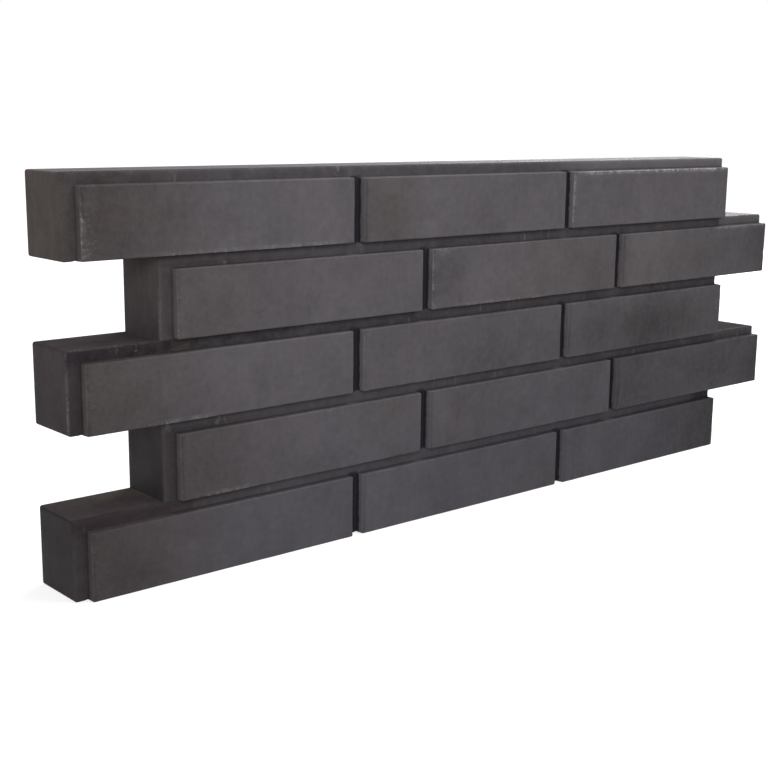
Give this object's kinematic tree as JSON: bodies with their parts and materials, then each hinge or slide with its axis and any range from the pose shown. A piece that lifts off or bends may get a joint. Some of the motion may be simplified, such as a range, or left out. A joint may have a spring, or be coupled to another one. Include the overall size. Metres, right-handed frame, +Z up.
{
  "type": "concrete garden block",
  "caption": "Solid cast concrete wall block with courses of brickwork in relief on its front and toothed ends that interlock with the next block.",
  "frame": {"origin": "middle of the block's bounding box, on the plane that it stands on", "axes": "+X along the wall to the right as seen from the front, +Y to the plain back, +Z up"},
  "size_m": [0.825, 0.06, 0.305],
  "materials": {
    "concrete": "smooth cast, anthracite"
  },
  "bodies": {
    "root": {"brickwork_block": "concrete"}
  },
  "joints": []
}
